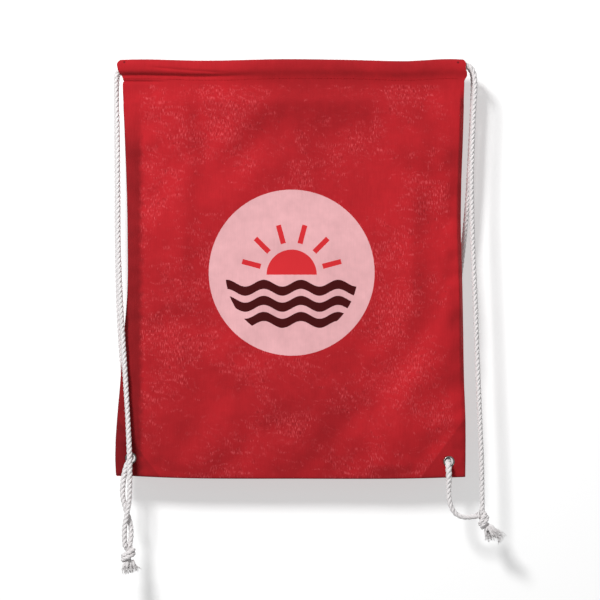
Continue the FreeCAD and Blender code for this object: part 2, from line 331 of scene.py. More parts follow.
def cotton_material():
    """Plain-woven red cotton: threads, slubs, light and dark grain, doubled seams, painted shade and light,
    the round print.
    """
    s = Shader(bpy.data.materials.new("red_cotton"))
    across, _, up = s.split(s.place_mm())
    thread = s.attribute("thread", out=1)
    warp_place, weft_place, _ = s.split(thread)
    side_in = s.attribute("side_in")
    down = s.attribute("down")
    front = s.attribute("front")

    # the threads: a bump for each crossing, uneven yarns, and soft patches of wear
    warp = s.maths("SINE", warp_place * (math.pi / THREAD_GAP))
    weft = s.maths("SINE", weft_place * (math.pi / THREAD_GAP))
    warp_slub = s.noise(s.scaled(thread, (1.3, 0.06, 1.0)), 1.0)
    weft_slub = s.noise(s.scaled(thread, (0.05, 1.5, 1.0)), 1.0)
    mottle = s.noise(thread, 0.035, 3.0)
    wear = s.noise(thread, 0.14)

    # the grain: short upright dashes, some lighter and some darker, gathered in slanting, wavy clusters
    dash = s.noise(s.scaled(thread, (1.05, 0.25, 1.0)), 1.0, 1.0, 0.4)
    streak = s.noise(s.scaled(thread, (1.5, 0.12, 1.0)), 1.0, 1.0, 0.4)
    slant = s.add("CombineXYZ", warp_place, s.maths("MULTIPLY_ADD", warp_place, -0.10, weft_place), 0.0)
    bands = s.noise(s.scaled(slant, (0.055, 0.085, 1.0)), 1.0, 2.0, 0.6, 2.2)
    level = bands + s.maths("MULTIPLY_ADD", s.noise(thread, 0.014, 1.0), 0.8, -0.4)
    cluster = s.step(level, 0.48, 0.66)
    long_streak = s.step(streak, 0.48, 0.66) * s.step(level, 0.40, 0.62)
    lighter = s.largest(s.step(dash, 0.48, 0.70) * cluster, long_streak * 0.24)
    darker = s.step(dash, 0.47, 0.34) * cluster

    # where the cloth is double, there is no grain
    wavering = s.maths("MULTIPLY_ADD", wear, 6.0, -3.0)
    seam = s.largest(s.step(side_in + wavering, 15.5, 9.5), s.step(wavering + across, -146.0, -153.0))
    corner = s.step(side_in * 1.35 + s.attribute("fold_up"), 61.5, 57.5)
    panel = s.step(down, HEM_DEEP - 0.6, HEM_DEEP + 0.6)
    single = (1.0 - s.largest(seam, corner)) * panel

    shade = s.vary(warp_slub, 0.97, 1.03) * s.vary(mottle, 0.95, 1.06) * s.vary(wear, 0.975, 1.025)
    # the soft patches on the front are painted shade and painted light
    shade = shade * s.maths("MULTIPLY_ADD", painted_light_and_shade(s, across, up), front, 1.0)
    # The side seams darken from 46 to 95 mm down: a little where the cloth is doubled, and much more on the
    # front's left band, which is painted shade.
    seam_and_painted_shade = s.maths("MULTIPLY_ADD", s.attribute("left_side") * front, 0.36, 0.06)
    shade = shade * (1.0 - seam * s.step(down, 46.0, 95.0) * seam_and_painted_shade) * (1.0 - corner * 0.20)
    grained = shade * s.maths("MULTIPLY_ADD", darker * single, -0.20, 1.0)
    cloth = s.mix(lighter * single * 0.52, s.shaded(shown(179, 29, 37), grained), shown(226, 90, 96))

    disc, sun_ink, wave_ink = print_motif(s, across, up)
    ink = s.mix(sun_ink, s.shaded(shown(229, 173, 177), shade), shown(212, 44, 50))
    ink = s.mix(wave_ink, ink, shown(66, 4, 6))
    colour = s.mix(disc * front, cloth, ink)
    # each tack hole is a dark spot of painted shade; the cloth has no hole there
    for tack in TACKS:
        hole = s.step(s.distance(across, up, tack), 1.45, 0.8) * front
        colour = s.mix(hole * 0.8, colour, shown(92, 14, 20))

    relief = warp * weft * 0.4 + (warp_slub + weft_slub * 0.6)
    return s.surface(relief, 0.06, 0.6, Base_Color=colour, Roughness=s.vary(warp_slub, 0.96, 0.84),
                     Sheen_Weight=0.12, Sheen_Roughness=0.5, Sheen_Tint=(1.0, 0.55, 0.55, 1.0),
                     Specular_IOR_Level=0.18)


def rope_material():
    """White cotton yarns, laid the other way from the strands. The UV map runs round and along a strand."""
    s = Shader(bpy.data.materials.new("white_cord"))
    uv = s.add("TexCoord", out=2)
    round_it, along, _ = s.split(uv)
    yarn = s.maths("SINE", round_it * (TURN * 7) + along * (-TURN * 0.16))
    fibre = s.noise(s.scaled(uv, (30.0, 2.5, 1.0)), 1.0, 3.0, 0.6)
    grime = s.noise(s.place_mm(), 0.06, 3.0)
    relief = yarn * 0.35 + fibre
    # the grooves between yarns are painted darker, as shade; grime varies the rest a little at random
    groove_shade_and_grime = s.add("MapRange", relief, 0.1, 0.9, 0.91, 1.0) * s.vary(grime, 0.96, 1.0)
    return s.surface(relief, 0.16, 0.8, Base_Color=s.shaded(shown(238, 234, 234), groove_shade_and_grime), Roughness=0.92,
                     Sheen_Weight=0.35, Sheen_Roughness=0.6, Specular_IOR_Level=0.2)


def metal_material():
    """Thin nickel plate over steel, brushed round and slightly worn."""
    s = Shader(bpy.data.materials.new("eyelet_nickel"))
    place = s.place_mm()
    cloud = s.noise(place, 0.9, 3.0)
    scratch = s.noise(s.scaled(place, (1.0, 1.0, 6.0)), 1.5)
    worn = s.add("MapRange", cloud, 0.35, 0.7, 0.0, 1.0)
    colour = s.mix(worn, shown(158, 152, 148), shown(112, 104, 100))
    return s.surface(scratch, 0.03, 0.4, Base_Color=colour, Roughness=s.vary(cloud, 0.18, 0.38), Metallic=1.0)


def thread_material():
    """Red sewing thread with the twist of its two plies."""
    s = Shader(bpy.data.materials.new("sewing_thread"))
    ply = s.add("TexWave", sockets={"Vector": s.place_mm(), "Scale": 1.6, "Distortion": 1.0})
    colour = s.mix(ply, shown(168, 18, 26), shown(188, 28, 36))
    return s.surface(ply, 0.05, 0.6, Base_Color=colour, Roughness=0.8, Specular_IOR_Level=0.2)


def stage_material():
    """Pale matt paint, seen from its front only, so that it never hides the bag from behind."""
    s = Shader(bpy.data.materials.new("stage_paint"))
    tint = s.noise(s.add("TexCoord", out=3), 3.0)
    colour = s.mix(tint, (0.33, 0.33, 0.33, 1.0), (0.34, 0.34, 0.34, 1.0))
    paint = s.add("AddShader", s.add("BsdfDiffuse", colour), s.add("Emission", (1.0, 1.0, 1.0, 1.0), 0.52))
    behind = s.add("NewGeometry", out=6)
    s.add("OutputMaterial", s.add("MixShader", behind, paint, s.add("BsdfTransparent")))
    return s.owner


COTTON = cotton_material()
CORD = rope_material()
NICKEL = metal_material()
THREAD = thread_material()
STAGE_PAINT = stage_material()


# ---- camera and light

VIEW_WIDE = 600.0           # the width, in millimetres, that the view takes in at the bag
VIEW_MIDDLE = Vector((9.0, 0.0, -240.0)) * MM
CAMERA_FAR = 2.6
BAG_MIDDLE = Vector((0.0, 0.0, -0.21))
scene = bpy.context.scene

camera_data = bpy.data.cameras.new("camera")
camera_data.sensor_width = 36.0
camera_data.lens = 36.0 * CAMERA_FAR / (VIEW_WIDE * MM)
camera = bpy.data.objects.new("camera", camera_data)
camera.location = VIEW_MIDDLE + Vector((0, -CAMERA_FAR, 0))
camera.rotation_euler = (math.radians(90), 0, 0)
scene.collection.objects.link(camera)
bpy.context.scene.camera = camera


def lamp(name, kind, place, power, **settings):
    """A light aimed at the middle of the bag."""
    data = bpy.data.lights.new(name, kind)
    data.energy = power
    for key, value in settings.items():
        setattr(data, key, value)
    made = bpy.data.objects.new(name, data)
    made.location = place
    made.rotation_euler = (BAG_MIDDLE - made.location).to_track_quat("-Z", "Y").to_euler()
    scene.collection.objects.link(made)
    return made


main_light = lamp("key", "AREA", (-1.15, -2.10, 0.92), 62.0, shape="DISK", size=0.8)
wall_light = lamp("wall_light", "AREA", (-0.81, -1.61, 1.05), 100.0, shape="DISK", size=0.5)
lamp("from_behind", "SUN", (1.1, 2.0, 1.2), 1.4, angle=math.radians(30))

# The wall light lights only the stage, and the main light all else, so the wall has one soft shadow.
stage_only = bpy.data.collections.new("stage_only")
wall_light.light_linking.receiver_collection = stage_only
all_but_stage = bpy.data.collections.new("all_but_stage")
main_light.light_linking.receiver_collection = all_but_stage

# The sky is a white that brightens from straight below to straight above.
SKY_BELOW, SKY_ABOVE = 0.24, 0.46
sky = Shader(bpy.data.worlds.new("studio"))
toward_up = sky.split(sky.add("TexCoord"))[2]
strength = sky.add("MapRange", toward_up, -1.0, 1.0, SKY_BELOW, SKY_ABOVE)
sky.add("OutputWorld", sky.add("Background", (1, 1, 1, 1), strength))
scene.world = sky.owner
scene.view_settings.view_transform = "Standard"
scene.view_settings.look = "None"

WALL_BACK = 34.0
FLOOR_DOWN = -620.0
WALL_HALF = 3000.0
CORNERS_X = (-WALL_HALF, WALL_HALF, WALL_HALF, -WALL_HALF)
WALL_CORNERS_Z = (FLOOR_DOWN, FLOOR_DOWN, WALL_HALF, WALL_HALF)
FLOOR_CORNERS_Y = (-WALL_HALF, -WALL_HALF, WALL_HALF, WALL_HALF)


def stage_plane(name, corners):
    plane = make_piece(name, corners, [(0, 1, 2, 3)], None, STAGE_PAINT, smooth=False)
    plane.visible_shadow = False
    plane.visible_diffuse = False
    plane.visible_glossy = False
    stage_only.objects.link(plane)
    all_but_stage.objects.link(plane)
    all_but_stage.collection_objects[-1].light_linking.link_state = "EXCLUDE"


stage_plane("wall", [(x, WALL_BACK, z) for x, z in zip(CORNERS_X, WALL_CORNERS_Z)])
stage_plane("floor", [(x, y, FLOOR_DOWN) for x, y in zip(CORNERS_X, FLOOR_CORNERS_Y)])


# ---- cords

# The same routes as the CAD tubes, in metres, each free strand in one piece from inside its hem to its knot.
LEFT_FRONT = [
    (-0.16, -0.007, -0.0094), (-0.1704, -0.007, -0.0095), (-0.1742, -0.0072, -0.0148),
    (-0.1746, -0.0076, -0.0245), (-0.1741, -0.008, -0.042), (-0.1729, -0.0082, -0.072),
    (-0.1725, -0.0086, -0.118), (-0.1723, -0.009, -0.176), (-0.1704, -0.0098, -0.232),
    (-0.167, -0.0106, -0.285), (-0.1642, -0.0112, -0.328), (-0.162, -0.0117, -0.366),
    (-0.1605, -0.012, -0.397), (-0.1606, -0.0121, -0.412), (-0.1603, -0.0122, -0.428),
    (-0.1612, -0.0122, -0.443), (-0.1644, -0.0118, -0.458), (-0.1665, -0.0104, -0.472),
    (-0.1652, -0.0092, -0.486),
]
LEFT_REAR = [
    (-0.16, 0.007, -0.0094), (-0.1704, 0.007, -0.0095), (-0.1743, 0.0072, -0.0148),
    (-0.1748, 0.0076, -0.0245), (-0.1751, 0.008, -0.042), (-0.1749, 0.0082, -0.072),
    (-0.1747, 0.0086, -0.118), (-0.1746, 0.009, -0.176), (-0.1736, 0.0094, -0.232), (-0.171, 0.0098, -0.285),
    (-0.1676, 0.01, -0.326), (-0.1628, 0.0098, -0.362), (-0.1603, 0.0088, -0.384), (-0.16, 0.0066, -0.3974),
    (-0.16, -0.006, -0.398), (-0.1644, -0.0065, -0.405), (-0.1672, -0.0068, -0.418),
    (-0.1684, -0.0068, -0.433), (-0.1656, -0.0062, -0.447), (-0.1606, -0.006, -0.46),
    (-0.1588, -0.007, -0.474), (-0.1608, -0.0084, -0.486),
]
RIGHT_FRONT = [
    (0.16, -0.007, -0.004), (0.1736, -0.007, -0.0042), (0.1818, -0.0073, -0.0098), (0.1837, -0.0078, -0.022),
    (0.1832, -0.008, -0.036), (0.1819, -0.008, -0.056), (0.1805, -0.0083, -0.088), (0.1798, -0.0082, -0.135),
    (0.1814, -0.008, -0.19), (0.1842, -0.0078, -0.252), (0.1862, -0.0078, -0.312), (0.1888, -0.0079, -0.368),
    (0.1904, -0.008, -0.415), (0.1907, -0.008, -0.452),
]
RIGHT_REAR = [
    (0.16, 0.007, -0.004), (0.1736, 0.007, -0.0042), (0.1814, 0.0073, -0.0098), (0.183, 0.0077, -0.0215),
    (0.1822, 0.0082, -0.042), (0.1806, 0.0088, -0.078), (0.1779, 0.0094, -0.132), (0.1739, 0.01, -0.18),
    (0.1672, 0.0106, -0.236), (0.1626, 0.0108, -0.296), (0.1598, 0.0104, -0.35), (0.1578, 0.0094, -0.386),
    (0.1571, 0.0065, -0.4002), (0.1571, -0.0064, -0.403), (0.1572, -0.0081, -0.4095),
    (0.1576, -0.0083, -0.417), (0.1569, -0.0083, -0.428), (0.1576, -0.0086, -0.441),
    (0.1626, -0.0086, -0.4526), (0.1716, -0.0084, -0.4568), (0.1806, -0.0082, -0.4562),
    (0.1876, -0.008, -0.4552),
]


def route_line(route, spacing=0.9):
    """The smooth NURBS line that a route's points control, read back evenly spaced, in millimetres."""
    curve = bpy.data.curves.new("route", "CURVE")
    curve.dimensions = "3D"
    curve.resolution_u = 24
    spline = curve.splines.new("NURBS")
    spline.points.add(len(route) - 1)
    for point, place in zip(spline.points, route):
        point.co = (*place, 1.0)
    spline.order_u = 3
    spline.use_endpoint_u = True
    holder = bpy.data.objects.new("route", curve)
    mesh = bpy.data.meshes.new_from_object(holder)
    line = np.array([v.co for v in mesh.vertices]) / MM
    bpy.data.objects.remove(holder)
    bpy.data.curves.remove(curve)
    bpy.data.meshes.remove(mesh)
    return even(line, spacing)


def even(line, spacing):
    """The same line with evenly spaced points."""
    steps = np.linalg.norm(np.diff(line, axis=0), axis=1)
    line = line[np.concatenate([[True], steps > 1e-9])]
    length = lengths_along(line)
    count = max(4, int(round(length[-1] / spacing)) + 1)
    at = np.linspace(0, length[-1], count)
    return np.stack([np.interp(at, length, line[:, axis]) for axis in range(3)], 1)


def frames_along(line):
    """A tangent, a normal and a third direction at each point, turning as little as they can."""
    tangent = np.gradient(line, axis=0)
    tangent /= np.linalg.norm(tangent, axis=1, keepdims=True)
    start = np.cross(tangent[0], (0, 1, 0))
    if np.linalg.norm(start) < 0.1:
        start = np.cross(tangent[0], (1, 0, 0))
    normals = [start / np.linalg.norm(start)]
    for t in tangent[1:]:
        n = normals[-1] - t * np.dot(normals[-1], t)
        normals.append(n / np.linalg.norm(n))
    normal = np.array(normals)
    return tangent, normal, np.cross(tangent, normal)


def tube(line, radius, sides, wide=1.0, frames=None, caps=True):
    """A tube round a line. radius may vary; wide stretches it along its third direction."""
    tangent, normal, third = frames or frames_along(line)
    radius = np.broadcast_to(np.asarray(radius, float), (len(line),))
    angle = np.arange(sides) * TURN / sides
    ring = np.cos(angle)[:, None] * normal[:, None, :] + wide * np.sin(angle)[:, None] * third[:, None, :]
    points = line[:, None, :] + ring * radius[:, None, None]
    along = lengths_along(line)
    uv = np.stack(np.broadcast_arrays(angle / TURN, along[:, None]), -1).reshape(-1, 2)
    faces = grid_faces(len(line), sides, wrap=True)[:, ::-1].tolist()
    if caps:
        last = (len(line) - 1) * sides
        faces.append(list(range(sides)))
        faces.append([last + k for k in reversed(range(sides))])
    return points.reshape(-1, 3), faces, uv


# A strand's distance from the rope's middle, and its radius, as shares of the rope's size.
STRAND_REACH, STRAND_RADIUS = 0.232, 0.276


def strands(line, size=ROPE, lay=LAY, phase=0.0, sides=9, fatter=1.0):
    """The three strands of a right-laid rope round a line."""
    tangent, normal, third = frames_along(line)
    along = lengths_along(line)
    fatter = fatter * np.ones(len(line))
    parts = []
    for number in range(3):
        angle = TURN * (along / lay + number / 3) + phase
        radial = np.cos(angle)[:, None] * normal + np.sin(angle)[:, None] * third
        centre = line + radial * (STRAND_REACH * size * fatter)[:, None]
        frames = (tangent, radial, np.cross(tangent, radial))
        parts.append(tube(centre, STRAND_RADIUS * size * fatter, sides, 1.12, frames))
    return parts


def fuzz(line, size=ROPE, per_mm=0.35):
    """Short loose fibres that stand out of a rope."""
    tangent, normal, third = frames_along(line)
    count = int(lengths_along(line)[-1] * per_mm)
    parts = []
    for place in dice.integers(2, len(line) - 2, count):
        angle = dice.uniform(0, TURN)
        out = math.cos(angle) * normal[place] + math.sin(angle) * third[place]
        lean = tangent[place] * dice.uniform(-1, 1) + np.cross(tangent[place], out) * dice.uniform(-0.8, 0.8)
        start = line[place] + out * size * 0.42
        reach = dice.uniform(0.6, 1.5)
        bend = start + (out * 0.55 + lean * 0.5) * reach
        end = start + (out * 0.7 + lean * 1.3) * reach
        parts.append(tube(np.array([start, bend, end]), np.array([0.05, 0.045, 0.02]), 3, caps=False))
    return parts


def rope_piece(name, route, phase=0.0, loose=()):
    """A rope along a route. loose lists (height, reach, how much fatter) where its lay has opened."""
    line = route_line(route)
    fatter = 1.03 + 0.03 * np.sin(line[:, 2] / 13 + phase)
    for height, reach, extra in loose:
        fatter = fatter + extra * hump(line[:, 2], height, reach)
    parts = strands(line, phase=phase, fatter=fatter) + fuzz(line)
    piece = make_piece(name, *joined(parts), CORD)
    return piece, line


left_front, left_front_line = rope_piece("left_front_cord", LEFT_FRONT, 0.4, [(-400, 25, 0.08)])
left_rear, left_rear_line = rope_piece("left_rear_cord", LEFT_REAR, 1.9, [(-425, 20, 0.10)])
right_front, right_front_line = rope_piece("right_front_cord", RIGHT_FRONT, 1.1)
right_rear, right_rear_line = rope_piece("right_rear_cord", RIGHT_REAR, 2.6, [(-407, 16, 0.22)])
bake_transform(left_front)
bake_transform(left_rear)
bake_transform(right_front)
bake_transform(right_rear)
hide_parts("left_front_strand", "left_front_pendant")
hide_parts("left_rear_strand", "left_rear_pendant")
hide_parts("right_front_exit", "right_front_strand")
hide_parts("right_rear_strand", "right_rear_loop")


def rope_work(name, parts, body, node):
    """One piece of white cord from its tubes."""
    return belong(make_piece(name, *joined(parts), CORD), "white_cord", body, node)


def channel_cord(name, node, away, phase):
    """A cord inside both hems: along the front, across at the far end and back."""
    low, high = node_box(node)
    middle = (low[2] + high[2]) / 2
    side = (high[1] - low[1] - ROPE) / 2
    near, far = (low[0], high[0] - ROPE / 2) if away > 0 else (high[0], low[0] + ROPE / 2)
    bend = far - away * side
    route = [(place, -side, middle) for place in (near, bend, far)]
    route += [(place, side, middle) for place in (far, bend, near)]
    line = route_line(np.array(route) * MM, 1.2)
    line[:, 2] += curve_through(TOP_RISE, line[:, 0])
    rope_work(name, strands(line, phase=phase, sides=8), "bag", node)


channel_cord("left_channel_cord", "left_cord_in_hem", 1, 0.0)
channel_cord("right_channel_cord", "right_cord_in_hem", -1, 1.0)


# ---- knots and frayed ends

KNOT_ROPE = 4.5             # the rope is pulled thinner in its knot
KNOT_LAY = 13.0
PAIR_GAP = 1.9              # half the distance between the two ropes in a knot
# A knot's path, down the middle, out, once round and through its own turn: the angle, the reach in mm and
# as a share of the turn's radius, the way down, and the two ropes' gap as a share of the usual one.
KNOT_PATH = [
    (180, 1.6, 0, -3.5, 0.3), (200, 1.8, 0, 2.6, 0.4), (255, 0, 0.92, 4.2, 1), (300, 0, 1.12, 2.6, 1),
    (345, 0, 1.15, 0.9, 1), (30, 0, 1.15, -1.0, 1), (75, 0, 1.10, -2.6, 1), (125, 0, 1.10, -2.6, 1),
    (175, 0, 1.05, -0.8, 0.9), (215, 0, 0.75, 1.6, 0.5), (40, 1.0, 0, 4.6, 0),
]


def basis(down):
    """Right, front and down directions of a knot whose ends leave it along down."""
    down = np.array(down, float)
    down /= np.linalg.norm(down)
    left = np.cross(down, (0, -1, 0))
    left /= np.linalg.norm(left)
    return -left, -np.cross(down, left), down


def overhand(name, centre, down, entries, exits, wide, body, node):
    """Two ropes in one overhand knot."""
    right, front, down = basis(down)
    turn_radius = wide / 2 - 2.1
    parts = []
    for number, (entry, leave) in enumerate(zip(entries, exits)):
        gap = PAIR_GAP if number else -PAIR_GAP
        route = [entry - down * 4.0, entry]
        for degrees, reach, turn_share, drop, gap_share in KNOT_PATH:
            angle = math.radians(degrees)
            out = right * math.sin(angle) + front * math.cos(angle)
            route.append(centre + out * (reach + turn_radius * turn_share) + down * (drop + gap * gap_share))
        route += [leave, leave + down * 3.0]
        line = route_line(np.array(route) * MM, 0.7)
        parts += strands(line, KNOT_ROPE, KNOT_LAY, number * 2.0)
        parts += fuzz(line, KNOT_ROPE, 0.5)
    return rope_work(name, parts, body, node)


def frayed_end(name, root, down, spread, length, body, node, count, curl):
    """A rope's end below its knot: three opened strands among loose fibres."""
    right, front, down = basis(down)
    share = np.linspace(0, 1, 10)
    opening = share ** 1.3
    parts = []
    for number in range(3):
        angle = TURN * number / 3 + 0.6
        out = right * math.cos(angle) + front * math.sin(angle)
        reach = 1.1 + spread * 0.3 * opening
        wave = np.sin(share * 5 + number) * 0.4 * curl
        line = root + out * reach[:, None] + down * (share * length * 0.6)[:, None] + right * wave[:, None]
        parts.append(tube(line, 1.75 + 0.4 * np.sin(share * 2.6) - 1.4 * share ** 2, 9))
    for number in range(count):
        yarn = number % 4 == 0
        wild = 1.9 if yarn else 1.0
        angle = dice.uniform(0, TURN)
        out = right * math.cos(angle) + front * math.sin(angle)
        start_reach = 2.1 * math.sqrt(dice.uniform(0.02, 1))
        end_reach = spread * math.sqrt(dice.uniform(0.0, 1)) * (0.6 + 0.4 * wild)
        far = length * dice.uniform(0.7, 1.1)
        reach = start_reach + (end_reach - start_reach) * opening
        swing = share ** 1.4 * curl * wild
        wobble = np.sin(share * dice.uniform(3, 8) + dice.uniform(0, 6)) * dice.uniform(0.2, 0.8) * swing
        sway = np.sin(share * dice.uniform(3, 7) + dice.uniform(0, 6)) * dice.uniform(0.2, 0.7) * swing
        line = (root + out * reach[:, None] + down * (share * far)[:, None]
                + right * wobble[:, None] + front * sway[:, None])
        thick = dice.uniform(0.30, 0.42) if yarn else dice.uniform(0.14, 0.24)
        parts.append(tube(line, thick * (1 - 0.5 * share), 5))
    return rope_work(name, parts, body, node)


left_centre = sum(node_box("left_knot")) / 2
right_centre = sum(node_box("right_knot")) / 2
LEFT_DOWN = (0.05, 0.0, -1.0)
RIGHT_DOWN = (0.55, 0.0, -0.84)

left_knot = overhand(
    "left_overhand_knot", left_centre, LEFT_DOWN,
    [left_front_line[-1], left_rear_line[-1]],
    [left_centre + (-2.0, -1.5, -8.5), left_centre + (2.6, 1.5, -8.5)],
    15.2, "left_pendant", "left_knot")
right_knot = overhand(
    "right_overhand_knot", right_centre, RIGHT_DOWN,
    [right_front_line[-1], right_rear_line[-1]],
    [right_centre + (2.6, -1.8, -7.6), right_centre + (5.6, 1.8, -6.0)],
    14.0, "right_loop", "right_knot")
left_tails = [
    frayed_end("left_front_fray", left_centre + (2.9, 1.0, -6.2), (0.30, 0, -1), 5.4, 11.5,
               "left_pendant", "left_front_tail", 90, 1.3),
    frayed_end("left_rear_fray", left_centre + (-2.0, -1.5, -6.6), (-0.04, 0, -1), 3.2, 12.2,
               "left_pendant", "left_rear_tail", 50, 1.3),
]
right_tails = [
    frayed_end("right_front_fray", right_centre + (4.6, -1.8, -5.8), (0.88, -0.05, -0.76), 5.2, 18.5,
               "right_loop", "right_front_tail", 90, 2.3),
    frayed_end("right_rear_fray", right_centre + (2.8, 1.8, -6.8), (0.42, 0.1, -0.95), 5.4, 14.0,
               "right_loop", "right_rear_tail", 80, 2.0),
]


# ---- the cloth

# How far each side edge lies inside the CAD outline, against the share of the way down the panel.
LEFT_INSET = [(-0.06, 7), (0.01, 7), (0.125, 9), (0.38, 12), (0.55, 11.5), (0.65, 8), (0.77, 4.5), (0.84, 2),
              (0.92, 0), (0.98, 0), (1.0, 0.5)]
RIGHT_INSET = [(-0.06, 1.5), (0, 1.5), (0.05, 2), (0.14, 3), (0.21, 4), (0.28, 5), (0.4, 5), (0.48, 4),
               (0.63, 2.8), (0.75, 2), (0.86, 0.5), (0.96, 0.5), (1.0, 0.7)]
# At the hem, each edge's own place across, against how far down it is: the left end bulges round its cord.
HEM_LEFT = [(-0.5, -168.6), (2.5, -172.4), (8, -172.8), (12.5, -171.2), (16, -168.9), (20.5, -167.2),
            (22.4, -166.4), (24, -168.6)]
HEM_RIGHT = [(-0.5, 171.0), (2.5, 173.8), (9, 174.2), (13, 175.6), (17, 175.2), (20.5, 173.2), (24, 172.9)]
# The foot's rise against the place across.
FOOT_RISE = [(-176, 2.6), (-158, 1.5), (-131, 0.2), (9, -1.2), (129, -0.8), (176, 0.6)]
# Half of the hem's profile from the tucked-in inner edge, over the cords and down to the panel, as
# (distance from the middle plane, height): pressed to a crease under the cords, and softly rolled.
HEM_INSIDE = [(3.5, -25.0), (3.3, -21), (3.2, -17), (3.3, -13.5), (3.1, -10), (3.0, -5.5), (3.6, -2.0)]
HEM_CREASED = HEM_INSIDE + [
    (5.4, -0.3), (7.9, -0.1), (10.4, -1.5), (11.5, -4.6), (11.6, -8.6), (11.1, -11.6), (9.2, -13.5),
    (6.6, -14.6), (5.2, -16.2), (5.5, -18.6), (5.5, -20.6), (5.6, -23.0),
]
HEM_ROLLED = HEM_INSIDE + [
    (5.4, -0.3), (7.8, -0.1), (10.2, -1.5), (11.0, -4.4), (11.1, -8.2), (10.6, -10.8), (9.5, -12.8),
    (8.2, -15.0), (7.3, -17.2), (6.8, -19.2), (6.4, -21.2), (6.2, -23.6),
]


def hem_profile(points):
    """A hem profile's evenly spaced points, rounded a little."""
    profile = even(np.array([(out, 0, up) for out, up in points], float), 1.1)
    for _ in range(2):
        profile[1:-1] = (profile[:-2] + 2 * profile[1:-1] + profile[2:]) / 4
    return profile


# Folds: the crest's points (x, z), the slope's length on its upper left and on its lower right, and height.
FRONT_FOLDS = [
    ([(166, -38), (138, -66), (122, -100)], 36, 42, 6.0),
    ([(128, -84), (121, -120), (118, -170), (118, -258)], 34, 14, 4.8),
    ([(168, -60), (166, -150), (167, -240)], 26, 20, 2.2),
    ([(205, -185), (182, -222), (155, -266), (122, -326), (102, -372), (88, -420), (80, -470)], 17, 34, 4.6),
    ([(2, -285), (12, -328), (20, -388)], 42, 36, 3.4),
    ([(-84, -303), (-66, -292), (-44, -279)], 15, 11, 2.6),
    ([(-112, -30), (-107, -60), (-104, -110), (-107, -155), (-111, -205)], 38, 14, 4.8),
    ([(-60, -20), (-40, -90), (-46, -170)], 30, 45, 3.4),
    ([(-96, -34), (-10, -40), (62, -36), (106, -28)], 13, 26, 4.6),
    ([(-166, -62), (-165, -180), (-168, -300), (-172, -425)], 9, 14, 2.8),
    ([(-164, -26), (-140, -58), (-132, -84)], 13, 9, 1.6),
    ([(-112, -318), (-96, -366), (-90, -420)], 30, 24, 1.0),
    ([(-60, -150), (-96, -230), (-110, -300)], 30, 26, 1.6),
    ([(154, -350), (130, -384), (104, -418)], 9, 6, 0.4),
    ([(-154, -350), (-132, -384), (-108, -418)], 6, 9, 0.6),
]
BACK_FOLDS = [
    ([(-172, -34), (-130, -90), (-70, -170)], 34, 16, 5.8),
    ([(160, -30), (124, -84), (96, -150)], 18, 30, 4.6),
    ([(-70, -40), (0, -46), (90, -38)], 13, 22, 4.0),
    ([(-140, -230), (-100, -310), (-70, -420)], 24, 16, 4.6),
    ([(40, -220), (90, -300), (140, -392)], 18, 26, 4.2),
    ([(-20, -120), (4, -190), (10, -270)], 24, 20, 3.0),
    ([(128, -170), (122, -240), (130, -310)], 12, 14, -2.0),
]


def along_crest(x, z, crest):
    """Distance from a crest line, the share of the way along it, and whether a point is on its upper left."""
    best = np.full(x.shape, 1e9)
    share = np.zeros(x.shape)
    upper_left = np.zeros(x.shape, bool)
    last = len(crest) - 2
    for number, ((x0, z0), (x1, z1)) in enumerate(zip(crest[:-1], crest[1:])):
        dx, dz = x1 - x0, z1 - z0
        t = ((x - x0) * dx + (z - z0) * dz) / (dx * dx + dz * dz)
        t = np.clip(t, -0.6 if number == 0 else 0.0, 1.6 if number == last else 1.0)
        off_x, off_z = x - x0 - t * dx, z - z0 - t * dz
        off = np.hypot(off_x, off_z)
        nearer = off < best
        best = np.where(nearer, off, best)
        upper_left = np.where(nearer, off_z > off_x, upper_left)
        share = np.where(nearer, (number + t) / (last + 1), share)
    return best, share, upper_left


def ridges(x, z, folds):
    """The folds' heights, added up."""
    total = np.zeros_like(x)
    for crest, upper, lower, high in folds:
        off, share, upper_left = along_crest(x, z, crest)
        wide = np.where(upper_left, upper, lower)
        ends = smooth_step(-0.25, 0.2, share) * smooth_step(1.25, 0.8, share)
        total += high * ends * hump(off, 0, wide)
    return total


RIPPLE_WAVES = 14


def ripples(x, z, seed, size):
    """Soft random ripples of about one size."""
    chance = np.random.default_rng(seed)
    total = np.zeros_like(x)
    for _ in range(RIPPLE_WAVES):
        angle = chance.uniform(0, TURN)
        wave = TURN / (size * chance.uniform(0.7, 1.5))
        total += np.sin((x * math.cos(angle) + z * math.sin(angle)) * wave + chance.uniform(0, TURN))
    return total / math.sqrt(RIPPLE_WAVES)


# Each eyelet's middle (x, z).
EYELETS = {side: (sum(node_box(f"{side}_eyelet")) / 2)[[0, 2]] for side in ("left", "right")}


def from_eyelets(x, z):
    """The distances from both eyelets' middles."""
    return [np.hypot(x - centre_x, z - centre_z) for centre_x, centre_z in EYELETS.values()]


def print_calm(x, z):
    """How much relief shows: less on the print, whose ink stiffens the cloth."""
    off = np.hypot(x - PRINT_CENTRE[0], z - PRINT_CENTRE[1])
    return 1 - 0.55 * smooth_step(PRINT_RADIUS + 40, PRINT_RADIUS - 8, off)


EYELET_OUT = 2.35           # where an eyelet holds the cloth, from the middle plane
LEAST_OUT = 0.9


